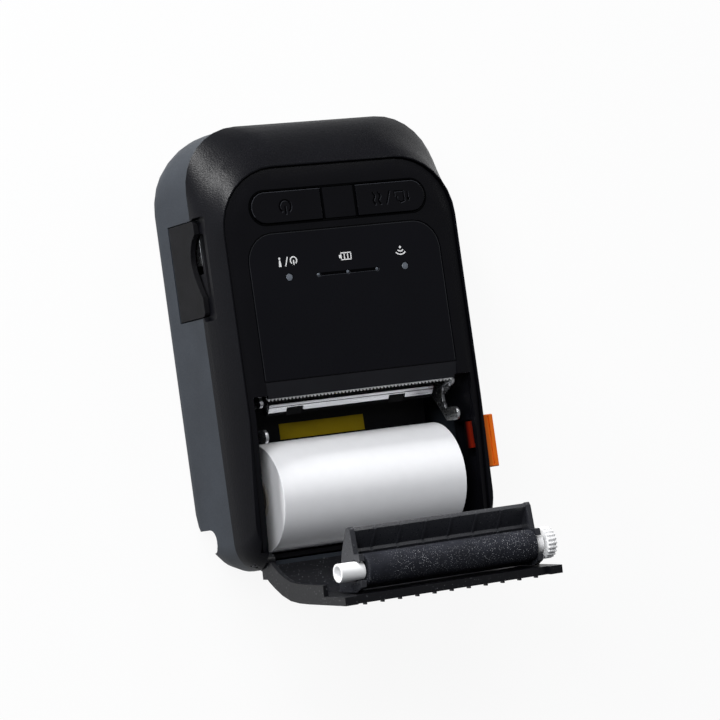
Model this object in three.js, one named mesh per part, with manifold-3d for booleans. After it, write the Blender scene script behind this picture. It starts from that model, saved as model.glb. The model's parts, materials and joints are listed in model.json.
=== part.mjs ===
// Mobile receipt printer with its paper door, feed mechanism, battery and controls.
// The printer lies on its flat back: +X is its right side, +Y its top end, +Z its front.
// Depths are counted inward from the front face, and heights up from the bottom end.
import * as THREE from 'three';
import { mergeVertices } from 'three/addons/utils/BufferGeometryUtils.js';
import Module from 'manifold-3d';

const wasm = await Module();
wasm.setup();

// Walls, clearances and the overrun of cutting tools, in millimetres
const wall = 2;
const fit = 0.3;
const overrun = 1;

// Paper roll and the bay that holds it
const paperWidth = 57.5;
const rollRadius = 14.9;
const coreRadius = 5.5;
const coreBore = 4.2;
const rollPlay = 0.7;
const rollFrontGap = 0.8;
const rollFootGap = 2.6;
const linerWall = 1.2;
const linerMargin = 1.6;
const linerBackReach = 5.8;
const linerFrontReach = 2.9;
const linerTopRise = 3.5;
const floorGap = 0.5;
const bayMargin = 5.45;
const rollDepth = rollRadius + rollFrontGap;
const rollHeight = rollRadius + rollPlay + linerWall + rollFootGap;
const bayHalf = paperWidth / 2 + bayMargin;
const linerHalf = paperWidth / 2 + linerMargin;
const linerBackDepth = rollDepth + linerBackReach;
const linerFrontDepth = rollDepth - linerFrontReach;

// Heights of the platen, the bay's mouth and the front panel above it
const platenRise = 6.2;
const bayRise = 5.9;
const bandRise = 3.7;
const overlayRise = 39.6;
const ledFall = 12.2;
const keyRise = 7;
const bezelRise = 10.6;
const crownRise = 13.7;
const platenHeight = rollHeight + rollRadius + platenRise;
const bayTop = platenHeight + bayRise;
const overlayBand = bayTop + bandRise;
const overlayTop = overlayBand + overlayRise;
const ledHeight = overlayTop - ledFall;
const keyHeight = overlayTop + keyRise;
const bezelTop = keyHeight + bezelRise;
const linerTop = platenHeight + linerTopRise;

// Body
const pillarWidth = 5.4;
const partingDepth = 12.4;
const cornerRadius = 17.5;
const cornerSwell = 6;
const footRadius = 8;
const shoulderRise = 12.9;
const sideShoulder = 3.1;
const footRound = 10;
const footDrop = 14;
const seamStep = 0.35;
const backRound = 3;
const backTopRound = 11;
const backTopDrop = 6;
const heelRise = 17;
const heelDepth = 17;
const frontFall = 3.6;
const fallGap = 0.5;
const bodyLength = bezelTop + crownRise;
const bodyDepth = rollDepth + rollRadius + rollPlay + linerWall + floorGap + wall;
const bodyHalf = bayHalf + pillarWidth;
const bodyHalfLength = bodyLength / 2;
const rearDepth = bodyDepth - partingDepth;
const fallHeight = platenHeight - fallGap;

// Paper door, hinge and the platen that it carries
const doorGap = 0.6;
const doorWall = 2.2;
const doorProud = 1.2;
const doorTopGap = 2.1;
const earGap = 0.4;
const earWidth = 3.8;
const doorCheek = 1.3;
const doorCheekHeight = 3;
const doorNub = 0.5;
const doorNubLength = 1.5;
const doorNubCount = 11;
const doorNubPitch = 5.3;
const doorRollGap = 0.5;
const hingeDepth = 9.5;
const hingeHeight = 2.4;
const hingeEyeRadius = 2.4;
const hingePinRadius = 1;
const hingeEyeWidth = 3;
const hingePinHold = 2.5;
const platenDepth = 7;
const platenRadius = 4.2;
const platenLeftInset = 4.25;
const platenRightInset = 1.05;
const platenShaftRadius = 1.5;
const shaftFit = 0.02;
const bushRadius = 2.5;
const bushLeftReach = 3.25;
const bracketWall = 1.5;
const bracketPlay = 0.5;
const guideWall = 1.4;
const guideRib = 0.6;
const guideRibHeight = 0.3;
const guideRibCount = 6;
const gearWidth = 2.6;
const gearRadius = 4.3;
const gearTeeth = 22;
const toothDepth = 0.55;
const doorTop = bayTop - doorTopGap;
const earTop = bayTop - earGap;
const platenLeft = paperWidth / 2 - platenLeftInset;
const platenRight = paperWidth / 2 - platenRightInset;
const bushLeftEnd = paperWidth / 2 + bushLeftReach;

// Print mechanism
const framePlate = 0.9;
const frameMargin = 1.05;
const headThickness = 1;
const headSink = 2.2;
const headHalf = 1.3;
const bracketHalf = 2.6;
const headGap = 0.25;
const headTab = 4.6;
const headTabReach = 16.2;
const bladeMargin = 0.5;
const bladeThickness = 0.6;
const bladeProud = 1.6;
const bladeHeight = 4.2;
const bladeTooth = 0.75;
const bladePitch = 1.1;
const motorRadius = 7.4;
const motorLength = 17;
const idlerRadius = 5.6;
const idlerTeeth = 28;
const idlerBehind = 7.5;
const idlerRise = 7;
const pinionRadius = 3;
const pinionTeeth = 12;
const pinionBehind = 6;
const pinionRise = 6.5;
const gearPinRadius = 0.9;
const frameInset = paperWidth / 2 + frameMargin;
const bladeHalf = frameInset - bladeMargin;
const bladeTip = bayTop - bladeProud;
const idlerDepth = platenDepth + idlerBehind;
const idlerHeight = platenHeight + idlerRise;
const motorDepth = idlerDepth + pinionBehind;
const motorHeight = idlerHeight + pinionRise;

// Front panel, overlay, keys and lights
const bezelMargin = 0.8;
const bezelThickness = 1.7;
const bezelGroove = 0.45;
const bezelFoot = 5;
const bezelFootCorner = 1;
const bezelSlope = 2.8;
const bezelSlopeDrop = 0.6;
const overlayMargin = 5.7;
const overlayCorner = 8;
const overlayThickness = 0.5;
const bandDrop = 0.9;
const tongueDrop = 0.9;
const tongueGap = 0.4;
const keyHalf = 4.2;
const keyInset = 2.8;
const keyBridge = 5;
const keyGap = 0.35;
const keyProud = 0.35;
const keyTravel = 0.6;
const keyFlange = 0.9;
const keyFlangeThickness = 0.8;
const ledRadius = 1;
const ledReach = 18.2;
const chargeReach = 9.2;
const chargeRadius = 0.45;
const bezelHalf = bodyHalf - sideShoulder - bezelMargin;
const bezelCorner = cornerRadius - bezelMargin;
const overlayHalf = bezelHalf - overlayMargin;
const keyEnd = overlayHalf - keyInset;
const tongueHalf = frameInset - tongueGap;

const up = (depth) => bodyDepth - depth;
const along = (height) => height - bodyHalfLength;

// Solids from three.js geometries
function solid(geometry) {
  geometry.deleteAttribute('normal');
  geometry.deleteAttribute('uv');
  const merged = mergeVertices(geometry, 1e-4);
  const triangles = merged.index.array;
  return new wasm.Manifold(new wasm.Mesh({
    numProp: 3,
    vertProperties: new Float32Array(merged.attributes.position.array),
    triVerts: new Uint32Array(triangles),
  }));
}

const join = (...parts) => parts.flat().reduce((sum, part) => sum.add(part));
const cut = (body, ...tools) => tools.flat().reduce((rest, tool) => rest.subtract(tool), body);

function shapeOf(points) {
  return new THREE.Shape(points.map(([a, b]) => new THREE.Vector2(a, b)));
}

// A prism whose outline lies in depth and height, from one x to another
function prismX(outline, x0, x1) {
  const shape = outline instanceof THREE.Shape ? outline
    : shapeOf(outline.map(([depth, height]) => [along(height), up(depth)]));
  const geometry = new THREE.ExtrudeGeometry(shape, { depth: x1 - x0, bevelEnabled: false });
  const turn = new THREE.Matrix4().makeBasis(
    new THREE.Vector3(0, 1, 0), new THREE.Vector3(0, 0, 1), new THREE.Vector3(1, 0, 0));
  geometry.applyMatrix4(turn);
  geometry.translate(x0, 0, 0);
  return solid(geometry);
}

// A prism whose outline lies in x and height, from one depth to a deeper one
function prismZ(outline, shallow, deep) {
  const shape = outline instanceof THREE.Shape ? outline
    : shapeOf(outline.map(([x, height]) => [x, along(height)]));
  const geometry = new THREE.ExtrudeGeometry(shape, { depth: deep - shallow, bevelEnabled: false });
  geometry.translate(0, 0, up(deep));
  return solid(geometry);
}

function block(x0, x1, shallow, deep, low, high) {
  const geometry = new THREE.BoxGeometry(x1 - x0, high - low, deep - shallow);
  geometry.translate((x0 + x1) / 2, along((low + high) / 2), up((shallow + deep) / 2));
  return solid(geometry);
}

function rodX(radius, x0, x1, depth, height, sides = 24) {
  const geometry = new THREE.CylinderGeometry(radius, radius, x1 - x0, sides);
  geometry.rotateZ(Math.PI / 2);
  geometry.translate((x0 + x1) / 2, along(height), up(depth));
  return solid(geometry);
}

function rodZ(radius, shallow, deep, x, height, sides = 16) {
  const geometry = new THREE.CylinderGeometry(radius, radius, deep - shallow, sides);
  geometry.rotateX(Math.PI / 2);
  geometry.translate(x, along(height), up((shallow + deep) / 2));
  return solid(geometry);
}

function roundedOutline(half, low, high, rLow, rHigh, segments = 8) {
  const corners = [
    [half - rHigh, high - rHigh, rHigh, 0], [-half + rHigh, high - rHigh, rHigh, 1],
    [-half + rLow, low + rLow, rLow, 2], [half - rLow, low + rLow, rLow, 3],
  ];
  const points = [];
  for (const [cx, cy, r, quarter] of corners) {
    for (let i = 0; i <= segments; i++) {
      const angle = (quarter + i / segments) * Math.PI / 2;
      points.push([cx + r * Math.cos(angle), cy + r * Math.sin(angle)]);
    }
  }
  return points;
}

// A closed skin through rings of equal count, from deep to shallow; fall deepens it with height
function loft(rings, fall = () => 0) {
  const positions = [];
  const index = [];
  const count = rings[0].points.length;
  for (const ring of rings) {
    for (const [x, height] of ring.points) positions.push(x, along(height), up(ring.depth + fall(height)));
  }
  for (let r = 0; r < rings.length - 1; r++) {
    for (let i = 0; i < count; i++) {
      const a = r * count + i;
      const b = r * count + (i + 1) % count;
      index.push(a, b, b + count, a, b + count, a + count);
    }
  }
  for (const [r, flip] of [[0, true], [rings.length - 1, false]]) {
    const first = r * count;
    for (let i = 1; i < count - 1; i++) {
      index.push(first, first + (flip ? i + 1 : i), first + (flip ? i : i + 1));
    }
  }
  const geometry = new THREE.BufferGeometry();
  geometry.setAttribute('position', new THREE.Float32BufferAttribute(positions, 3));
  geometry.setIndex(index);
  return solid(geometry);
}

// How far an elliptical edge has drawn in, at a distance from the face that it rounds off
function drawIn(distance, reach, drop) {
  const share = Math.max(0, 1 - distance / reach);
  return drop * (1 - Math.sqrt(1 - share * share));
}

const sideCurveShare = 1.8;
const crownCurveShare = 1.6;

function frontRing(depth, inset) {
  const share = depth / partingDepth;
  const top = bodyLength - shoulderRise * (1 - share) ** crownCurveShare - inset;
  const half = bodyHalf - sideShoulder * (1 - share) ** sideCurveShare - inset;
  const low = drawIn(depth, footRound, footDrop) + inset;
  const radius = cornerRadius + cornerSwell * Math.sin(Math.PI * share) - inset;
  return { depth, points: roundedOutline(half, low, top, footRadius - inset, radius) };
}

function rearRing(depth, inset) {
  const toBack = bodyDepth - depth;
  const step = seamStep * toBack / rearDepth;
  const top = bodyLength - step - drawIn(toBack, backTopRound, backTopDrop) - inset;
  const half = bodyHalf - step - drawIn(toBack, backRound, backRound) - inset;
  const low = step + drawIn(toBack, heelDepth, heelRise) + inset;
  return { depth, points: roundedOutline(half, low, top, footRadius - inset, cornerRadius - inset) };
}

const frontShares = [1, 0.8, 0.62, 0.46, 0.31, 0.19, 0.09, 0];
const rearShares = [1, 0.99, 0.965, 0.93, 0.88, 0.8, 0.7, 0.55, 0.3, 0];
const frontOuter = loft(frontShares.map((share) => frontRing(partingDepth * share, 0)));
const rearOuter = loft(rearShares.map((share) => rearRing(partingDepth + rearDepth * share, 0)));

// Space above the sloped foot of the front
const foreground = -overrun - doorProud;
const frontSlope = prismX([
  [foreground, -overrun], [frontFall * (1 + overrun / fallHeight), -overrun], [0, fallHeight],
  [foreground, fallHeight],
], -bodyHalf - overrun, bodyHalf + overrun);

const printer = new THREE.Group();

function place(name, body, colour, roughness, metalness = 0) {
  const mesh = body.getMesh();
  const geometry = new THREE.BufferGeometry();
  geometry.setAttribute('position', new THREE.Float32BufferAttribute(mesh.vertProperties, 3));
  geometry.setIndex(new THREE.BufferAttribute(new Uint32Array(mesh.triVerts), 1));
  geometry.computeVertexNormals();
  const part = new THREE.Mesh(geometry,
    new THREE.MeshStandardMaterial({ color: colour, roughness, metalness }));
  part.name = name;
  printer.add(part);
}

// Port recess in the left side, shared by both shells and the flap
const portLength = 26;
const portDrop = 0.7;
const portShallow = 10.8;
const portDeep = 26;
const portCorner = 1.2;
const flapThickness = 1.5;
const portMargin = 2.4;
const portHigh = keyHeight - portDrop;
const portLow = portHigh - portLength;
const portMiddle = (portLow + portHigh) / 2;

// Finger recess beside the flap: a shallow step with a hollow that runs under the flap's scoop
const nailStepReach = 4.8;
const nailStepSink = 1.5;
const nailLap = 0.7;
const nailHalf = 8.7;
const nailShallow = 8.4;
const scoopReach = 4;
const scoopRise = 0.7;

function sidePrism(shallow, deep, low, high, corner, x0, x1) {
  const middle = (shallow + deep) / 2;
  return prismX(roundedOutline((deep - shallow) / 2, low, high, corner, corner, 4)
    .map(([across, height]) => [middle + across, height]), x0, x1);
}

// The scoop's curve, steep at its upper end and gentle at its lower one
function scoop(grow) {
  const steps = 12;
  const points = [[portShallow - overrun, portMiddle + scoopRise - nailHalf - grow]];
  for (let i = 0; i <= steps; i++) {
    const share = i / steps;
    const reach = scoopReach * Math.sin(Math.PI * share ** scoopSkewShare) ** scoopPowerShare;
    points.push([portShallow + reach + grow, portMiddle + scoopRise + (nailHalf + grow) * (2 * share - 1)]);
  }
  points.push([portShallow - overrun, portMiddle + scoopRise + nailHalf + grow]);
  return points;
}
const scoopSkewShare = 1.35;
const scoopPowerShare = 0.7;

function portPocket() {
  const face = -bodyHalf;
  const floor = face + flapThickness + 2 * fit;
  const rounded = sidePrism(portShallow - fit, portDeep + fit, portLow - fit, portHigh + fit,
    portCorner + fit, face - overrun, floor);
  const recess = join(rounded, block(face - overrun, floor, portDeep - flapThickness, portDeep + fit,
    portLow - fit, portHigh + fit));
  const step = sidePrism(portShallow - nailStepReach, portShallow + overrun, portLow - nailStepSink,
    portHigh + nailLap, portCorner, face - overrun, face + nailStepSink);
  const hollow = sidePrism(nailShallow, portShallow + scoopReach, portMiddle + scoopRise - nailHalf,
    portMiddle + scoopRise + nailHalf, portCorner, face - overrun, floor + wall);
  const hole = block(face - overrun, face + 2 * wall + flapThickness,
    portShallow + portMargin, portDeep - portMargin, portLow + portMargin, portHigh - portMargin);
  return join(recess, step, hollow, hole);
}

// Screws that hold the shells together
const screwRadius = 1.3;
const screwHeadRadius = 2.4;
const screwHeadDepth = 1.4;
const screwReach = 6;
const bossRadius = 2.6;
const bossInset = 2.4;
const bossRise = 6;
const bossDrop = 14.7;
const bossShift = 3.3;
const screwPlaces = [
  [bodyHalf - bossInset - bossRadius, motorHeight + bossRise],
  [bodyHalf - bossInset - bossRadius - bossShift, bodyLength - bossDrop],
];
const mirrored = screwPlaces.flatMap(([x, height]) => [[x, height], [-x, height]]);

// Battery bay in the back
const coverScrewGap = 0.9;
const batteryRise = 12;
const batteryDrop = 13;
const batteryThickness = 9.5;
const coverThickness = 1.6;
const coverMargin = 2;
const trayWall = 1.2;
const batteryHalf = screwPlaces[1][0] - screwHeadRadius - coverScrewGap - coverMargin;
const batteryLow = motorHeight + batteryRise;
const batteryHigh = bodyLength - batteryDrop;

// Boards behind the panel
const boardDepth = 6.2;
const boardThickness = 1.2;
const boardSideGap = 8;
const boardFoot = 4.6;
const boardCrown = 6.6;
const boardHalf = bodyHalf - boardSideGap;
const boardLow = bayTop + boardFoot;
const boardHigh = keyHeight + boardCrown;
const postRadius = 1.6;
const postInset = 1.2;
const postRise = 4;
const boardPosts = [-1, 1].flatMap((side) => [boardLow + postRise, boardHigh - postRise]
  .map((height) => [side * (boardHalf - postInset), height]));
const ioShallow = 12.2;
const ioInset = 2.6;
const ioWidth = 8.6;
const switchHalf = 3;
const switchBody = 1.3;
const plungerLength = 0.5;
const plungerRadius = 1.2;

// Lever in the right side: a ridged slider outside and a bar that shows in a window of the bay
const leverLength = 14.7;
const leverFall = 6.2;
const leverShallow = 4.5;
const leverDeep = 9;
const leverProud = 2.4;
const leverSink = 1.3;
const leverGroove = 0.45;
const leverTravel = 2;
const leverBar = 1.6;
const leverBarLength = 7.4;
const leverBarShallow = 4.4;
const leverBarDeep = 8.1;
const leverPlay = 0.4;
const leverNeckHalf = 2.6;
const windowShallow = 3.2;
const windowDeep = 11;
const leverHigh = platenHeight - leverFall;
const leverLow = leverHigh - leverLength;
const leverBarHigh = leverHigh - leverSink;
const leverBarLow = leverBarHigh - leverBarLength;
const leverBarMiddle = (leverBarLow + leverBarHigh) / 2;
const leverFace = bodyHalf - leverSink;

function leverPocket() {
  const inner = block(bayHalf - overrun, bayHalf + leverBar + 2 * leverPlay, windowShallow, windowDeep,
    leverBarLow - leverTravel - leverPlay, leverBarHigh + leverPlay);
  const slot = block(bayHalf + leverBar, bodyHalf + overrun, leverBarShallow + leverPlay,
    leverBarDeep + leverPlay, leverBarMiddle - leverNeckHalf - leverTravel - leverPlay,
    leverBarMiddle + leverNeckHalf + leverPlay);
  const track = block(leverFace - fit, bodyHalf + overrun, leverShallow - fit, leverDeep + fit,
    leverLow - leverTravel - fit, leverHigh + fit);
  return join(inner, slot, track);
}

function frontShell() {
  const inner = loft(frontShares.map((share) => frontRing(partingDepth * share, wall)));
  const hollow = inner.intersect(block(-bodyHalf, bodyHalf, bezelThickness + wall, bodyDepth,
    bayTop + wall, bodyLength));
  const bayCut = block(-bayHalf, bayHalf, foreground, bodyDepth, -overrun, bayTop);
  const seatHalf = bezelHalf + bezelGroove;
  const seat = prismZ(roundedOutline(seatHalf, bezelFoot - bezelGroove, bezelTop + bezelGroove,
    bezelFootCorner, bezelCorner + bezelGroove), foreground, bezelThickness + fit);
  const window = block(-overlayHalf, overlayHalf, foreground, bodyDepth, bayTop,
    keyHeight + keyHalf + 2 * keyFlange);
  const slopeStep = frontSlope.translate([0, 0, -bezelThickness - fit]);
  const pillarSeat = slopeStep.intersect(block(-seatHalf, seatHalf, foreground, bodyDepth,
    bezelFoot, fallHeight));
  const pinReach = bayHalf + hingePinHold;
  const pinHole = rodX(hingePinRadius + fit, -pinReach, pinReach, hingeDepth, hingeHeight, 12);
  const gearRoom = block(-bayHalf, bayHalf, bezelThickness + wall, bodyDepth, bayTop - overrun,
    bayTop + wall + overrun);
  const posts = boardPosts.map(([x, height]) => rodZ(postRadius, bezelThickness + overrun, boardDepth,
    x, height));
  const bosses = mirrored.map(([x, height]) => rodZ(bossRadius, bezelThickness + wall - fit,
    partingDepth, x, height)
    .subtract(rodZ(screwRadius, partingDepth - screwReach, partingDepth + overrun, x, height, 10)));
  const plain = cut(frontOuter, hollow, bayCut, frontSlope, seat, window, pillarSeat, pinHole, gearRoom,
    leverPocket(), portPocket());
  return join(plain, posts, bosses.map((boss) => boss.intersect(frontOuter)));
}

// Key openings of the panel, left of the bridge for side -1 and right of it for side 1
function keyOutline(side, grow) {
  const inside = keyBridge + 2 * keyGap - grow;
  const outside = keyEnd - keyHalf;
  const radius = keyHalf + grow;
  const points = [[side * inside, keyHeight - radius], [side * outside, keyHeight - radius]];
  const steps = 8;
  for (let i = 1; i < steps; i++) {
    const angle = -Math.PI / 2 + Math.PI * i / steps;
    points.push([side * (outside + radius * Math.cos(angle)), keyHeight + radius * Math.sin(angle)]);
  }
  points.push([side * outside, keyHeight + radius], [side * inside, keyHeight + radius]);
  return side > 0 ? points : points.reverse();
}

function overlayOutline(grow) {
  return roundedOutline(overlayHalf + grow, overlayBand - grow, overlayTop + grow, fit, overlayCorner, 5);
}

function frontBezel() {
  const edge = (inset) => roundedOutline(bezelHalf - inset, bezelFoot + inset, bezelTop - inset,
    bezelFootCorner, bezelCorner - inset);
  const rings = [{ depth: bezelThickness, points: edge(0) }, { depth: bezelSlopeDrop, points: edge(0) },
    { depth: 0, points: edge(bezelSlope) }];
  const legs = loft(rings, (height) => (fallHeight - height) * frontFall / fallHeight)
    .intersect(block(-bodyHalf, bodyHalf, 0, bodyDepth, 0, fallHeight));
  const upper = loft(rings).intersect(block(-bodyHalf, bodyHalf, 0, bodyDepth, fallHeight, bodyLength));
  const mouth = block(-bayHalf, bayHalf, foreground, bodyDepth, -overrun, bayTop);
  const bay = mouth.subtract(block(-tongueHalf, tongueHalf, foreground, bodyDepth, bayTop - tongueDrop,
    bayTop + overrun));
  const band = prismX([[foreground, bayTop - 2 * tongueDrop], [bandDrop, bayTop - 2 * tongueDrop],
    [bandDrop, bayTop - tongueDrop], [0, overlayBand], [foreground, overlayBand]], -overlayHalf, overlayHalf);
  const pocket = prismZ(overlayOutline(fit), foreground, overlayThickness);
  const lights = [-1, 1].map((side) => rodZ(ledRadius + fit, foreground, bezelThickness + overrun,
    side * ledReach, ledHeight, 12));
  const charge = [-1, 0, 1].map((side) => rodZ(chargeRadius + fit / 2, foreground, bezelThickness + overrun,
    side * chargeReach, ledHeight, 8));
  const keys = [-1, 1].map((side) => prismZ(keyOutline(side, keyGap), foreground, bezelThickness + overrun));
  const bridgeSeat = block(-keyBridge - fit, keyBridge + fit, foreground, bezelThickness / 2,
    keyHeight - keyHalf - fit, keyHeight + keyHalf + fit);
  return cut(join(upper, legs), bay, band, pocket, lights, charge, keys, bridgeSeat);
}

// Sheet metal chassis of the print mechanism
const frameBack = 6.8;
const frameHead = 8;
const frameStep = 0.1;
const frameBase = bodyDepth - frameBack;
const frameLow = bayTop + frameStep;
const frameHigh = motorHeight + frameHead;
const frameFront = bezelThickness + wall + fit;
const hookRadius = 1.9;
const hookReach = 2.4;
const hookFall = 4.8;
const lipRadius = 1.5;
const lipReach = 2.3;
const lipRise = 4.4;

// Rear shell: a tub with the notch for a strap, the battery bay and its tray
const notchHeight = 9.7;
const notchHalf = 3.2;
const notchShallow = 22.6;
const notchWall = 1.6;
const notchMargin = 5;
const coverHalf = batteryHalf + coverMargin;
const coverLow = batteryLow - coverMargin;
const coverHigh = batteryHigh + coverMargin;
const coverShallow = bodyDepth - coverThickness - fit;
const trayDepth = coverShallow - batteryThickness - 2 * fit;
const coverHingeRadius = 1.3;
const coverHingeDepth = bodyDepth - coverHingeRadius;

const notchInside = paperWidth / 2 + notchMargin;

function notches(grow) {
  const radius = notchHalf + grow;
  const end = bodyDepth + overrun;
  const centre = notchShallow + notchHalf;
  const steps = 8;
  const points = [[end, notchHeight - radius]];
  for (let i = 0; i <= steps; i++) {
    const angle = -Math.PI / 2 - Math.PI * i / steps;
    points.push([centre + radius * Math.cos(angle), notchHeight + radius * Math.sin(angle)]);
  }
  points.push([end, notchHeight + radius]);
  const inside = notchInside - grow;
  const left = prismX(points, -bodyHalf - overrun, -inside);
  return join(left, prismX(points, inside, bodyHalf + overrun));
}

function rearShell() {
  const inner = loft(rearShares.map((share) => rearRing(partingDepth + rearDepth * share, wall)));
  const roomy = inner.intersect(block(-bodyHalf, bodyHalf, 0, bodyDepth - wall, 0, bodyLength));
  const keel = join(roomy, roomy.translate([0, 0, overrun]));
  const hollow = cut(keel, notches(notchWall));
  const tray = block(-batteryHalf - fit - trayWall, batteryHalf + fit + trayWall, trayDepth - trayWall,
    bodyDepth - wall + fit, batteryLow - fit - trayWall, batteryHigh + fit + trayWall);
  const trayFeet = [-1, 1].map((side) => [batteryLow + trayWall, batteryHigh - trayWall].map((height) => {
    const reach = [side * batteryHalf, side * (bodyHalf - wall)].sort((a, b) => a - b);
    return block(reach[0], reach[1], trayDepth - trayWall, bodyDepth - wall + fit,
      height - trayWall, height + trayWall);
  })).flat();
  const bay = block(-batteryHalf - fit, batteryHalf + fit, trayDepth, bodyDepth + overrun,
    batteryLow - fit, batteryHigh + fit);
  const seat = block(-coverHalf - fit, coverHalf + fit, coverShallow, bodyDepth + overrun,
    coverLow - fit, coverHigh + fit);
  const bosses = mirrored.map(([x, height]) => rodZ(bossRadius, partingDepth + fit, bodyDepth - wall / 2,
    x, height));
  const chassisPosts = [-1, 1].map((side) => rodZ(bossRadius, frameBase + framePlate, bodyDepth - wall / 2,
    side * (frameInset - bossRadius), frameLow + bossRadius + wall));
  const bores = mirrored.map(([x, height]) => join(
    rodZ(screwRadius + fit, partingDepth - overrun, bodyDepth, x, height, 12),
    rodZ(screwHeadRadius + fit, bodyDepth - screwHeadDepth - fit, bodyDepth + overrun, x, height)));
  const knuckle = join(rodX(coverHingeRadius + fit, -coverHalf - fit, coverHalf + fit, coverHingeDepth, coverLow),
    block(-coverHalf - fit, coverHalf + fit, coverHingeDepth, bodyDepth + overrun,
      coverLow - coverHingeRadius - 2 * fit, coverLow));
  const body = join(cut(rearOuter, hollow), tray.intersect(rearOuter),
    trayFeet.map((foot) => foot.intersect(rearOuter)), chassisPosts,
    bosses.map((boss) => boss.intersect(rearOuter)));
  return cut(body, bay, seat, bores, notches(0), portPocket(), knuckle);
}

// Liner of the paper bay: a trough round the roll with a back wall and two cheeks
function linerOutline() {
  const inside = rollRadius + rollPlay;
  const outside = inside + linerWall;
  const angleAt = (depth, radius) => Math.acos((depth - rollDepth) / radius);
  const startAngle = -angleAt(linerFrontDepth, inside);
  const startOut = -angleAt(linerFrontDepth, outside);
  const endAngle = angleAt(linerBackDepth, inside);
  const endOut = angleAt(linerBackDepth + linerWall, outside);
  const steps = 20;
  const arc = (radius, from, to) => Array.from({ length: steps + 1 }, (_, i) => {
    const angle = from + (to - from) * i / steps;
    return [rollDepth + radius * Math.cos(angle), rollHeight + radius * Math.sin(angle)];
  });
  return [...arc(inside, startAngle, endAngle), [linerBackDepth, linerTop],
    [linerBackDepth + linerWall, linerTop], ...arc(outside, startOut, endOut).reverse()];
}

function rollBay() {
  return prismX(linerOutline(), -linerHalf, linerHalf);
}

function linerCheek(side) {
  const outside = rollRadius + rollPlay + linerWall;
  const disc = rodX(outside - fit, -linerWall / 2, linerWall / 2, rollDepth, rollHeight, 32);
  const rest = block(-linerWall, linerWall, linerFrontDepth, bodyDepth, 0, rollHeight);
  return disc.intersect(rest).translate([side * (linerHalf + linerWall / 2), 0, 0]);
}

// Paper door in its closed place; it is swung open at the end
const doorHalf = bayHalf - doorGap;
const doorCurveShares = [[0, 0], [0.3, 0.12], [0.53, 0.25], [0.75, 0.4], [0.92, 0.58], [0.985, 0.78], [1, 1]];
const doorFootShare = 0.58;

// The panel runs up from the hinge in a slow curve, then straight to its free edge
function doorPanel(x0, x1, top, thickness) {
  const footDepth = hingeDepth - hingeEyeRadius - fit;
  const outer = doorCurveShares.map(([forward, rise]) => [footDepth - (footDepth + doorProud) * forward,
    hingeHeight + (doorTop - hingeHeight) * doorFootShare * rise]);
  const inner = outer.map(([depth, height], i) => {
    const [d0, h0] = outer[Math.max(0, i - 1)];
    const [d1, h1] = outer[Math.min(outer.length - 1, i + 1)];
    const length = Math.hypot(d1 - d0, h1 - h0);
    return [depth + thickness * (h1 - h0) / length, height - thickness * (d1 - d0) / length];
  });
  return prismX([...outer, [-doorProud, top], [-doorProud + thickness, top], ...inner.reverse()], x0, x1);
}

function doorCover() {
  const middle = doorPanel(-doorHalf, doorHalf, doorTop, doorWall);
  const ears = [-1, 1].map((side) => {
    const reach = [side * (doorHalf - earWidth), side * doorHalf].sort((a, b) => a - b);
    return block(reach[0], reach[1], -doorProud, -doorProud + doorWall, doorTop - overrun, earTop);
  });
  const cheeks = [-1, 1].map((side) => {
    const reach = [side * (doorHalf - doorCheek), side * doorHalf].sort((a, b) => a - b);
    return doorPanel(reach[0], reach[1], platenHeight - gearRadius - doorCheek, doorWall + doorCheekHeight)
      .intersect(block(reach[0] - overrun, reach[1] + overrun, -doorProud, hingeDepth, hingeHeight, doorTop));
  });
  const eyes = [-1, 1].map((side) => {
    const reach = [side * (doorHalf - hingeEyeWidth), side * doorHalf].sort((a, b) => a - b);
    const eye = rodX(hingeEyeRadius, reach[0], reach[1], hingeDepth, hingeHeight);
    const web = block(reach[0], reach[1], hingeDepth - hingeEyeRadius - doorWall, hingeDepth, hingeHeight - fit,
      hingeHeight + hingeEyeRadius - fit);
    return join(eye, web);
  });
  const bore = rodX(hingePinRadius + fit, -doorHalf - overrun, doorHalf + overrun, hingeDepth, hingeHeight, 12);
  const relief = rodX(rollRadius + doorRollGap, -linerHalf, linerHalf, rollDepth, rollHeight, 48);
  const nubs = Array.from({ length: doorNubCount }, (_, i) => {
    const x = (i - (doorNubCount - 1) / 2) * doorNubPitch;
    return block(x - doorNub / 2, x + doorNub / 2, -doorProud - doorNub, -doorProud + fit,
      doorTop - doorNubLength, doorTop);
  });
  return cut(join(middle, ears, cheeks, eyes, nubs), bore, relief);
}

// Guide wall behind the platen and the forked brackets at its ends
const guideTipBehind = 10.7;
const guideTipFall = 1.3;
const guideKneeBehind = 4.9;
const guideKneeFall = 4.2;
const guideRootFall = 7.9;
const guideTipDepth = platenDepth + guideTipBehind;
const guideTipHeight = platenHeight - guideTipFall;
const guideKneeDepth = platenDepth + guideKneeBehind;
const guideKneeHeight = platenHeight - guideKneeFall;
const guideRootHeight = platenHeight - guideRootFall;
const doorInside = -doorProud + doorWall;

function guideOutline(thickness) {
  return [[doorInside + fit, guideRootHeight], [guideKneeDepth, guideKneeHeight - thickness],
    [guideTipDepth, guideTipHeight - thickness], [guideTipDepth + thickness / 3, guideTipHeight],
    [guideTipDepth - thickness / 3, guideTipHeight + thickness / 3],
    [guideKneeDepth + thickness / 3, guideKneeHeight + thickness / 4],
    [guideKneeDepth - thickness / 4, guideKneeHeight + thickness / 2],
    [guideKneeDepth - thickness, guideKneeHeight], [doorInside + fit, guideRootHeight + thickness]];
}

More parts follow.
